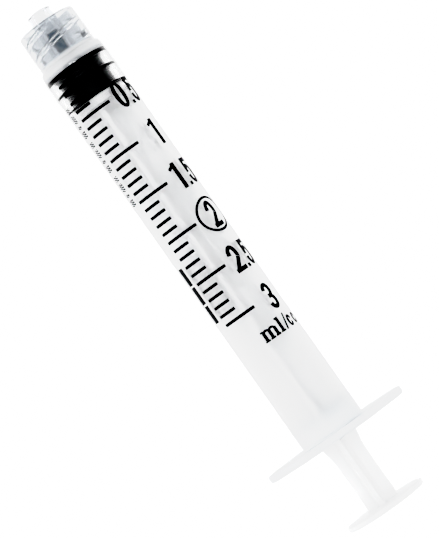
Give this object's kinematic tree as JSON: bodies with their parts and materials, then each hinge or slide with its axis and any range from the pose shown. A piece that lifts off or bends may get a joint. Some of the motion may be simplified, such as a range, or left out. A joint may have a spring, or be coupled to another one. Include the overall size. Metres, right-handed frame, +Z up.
{
  "type": "syringe",
  "caption": "Small syringe with a locking cone tip, a printed scale, a rubber gasket on a cross-ribbed plunger rod, finger wings and a thumb press.",
  "frame": {"origin": "on the table under the middle of the length, with the syringe lying on one flat of its finger flange and the plunger fully pressed", "axes": "+X along the barrel towards the tip, +Z up, so the scale faces up and towards -Y, and the finger wings lie along Y"},
  "size_m": [0.0942, 0.0248, 0.014],
  "materials": {
    "barrel_plastic": "milky see-through moulded polypropylene, smooth outside",
    "rod_plastic": "milky moulded polypropylene, satin",
    "gasket_rubber": "black moulded elastomer with a film of silicone oil",
    "scale_ink": "thin black printing ink"
  },
  "bodies": {
    "barrel": {"barrel": "barrel_plastic", "tenth_lines": "scale_ink", "half_lines": "scale_ink", "zero_line": "scale_ink", "numeral_0_5": "scale_ink", "numeral_1": "scale_ink", "numeral_1_5": "scale_ink", "numeral_2": "scale_ink", "ring_round_2": "scale_ink", "numeral_2_5": "scale_ink", "numeral_3": "scale_ink", "unit_mark": "scale_ink", "side_dashes": "scale_ink", "side_bar": "scale_ink"},
    "gasket": {"gasket": "gasket_rubber"},
    "plunger_rod": {"plunger_rod": "rod_plastic"}
  },
  "joints": [
    {"name": "plunger_slide", "type": "slide", "parent": "barrel", "child": "gasket", "axis": [-1, 0, 0], "range_m": [0, 0.0615]},
    {"name": "rod_spin", "type": "hinge", "parent": "gasket", "child": "plunger_rod", "pos_m": [0, 0, 0.007], "axis": [1, 0, 0], "continuous": true}
  ]
}
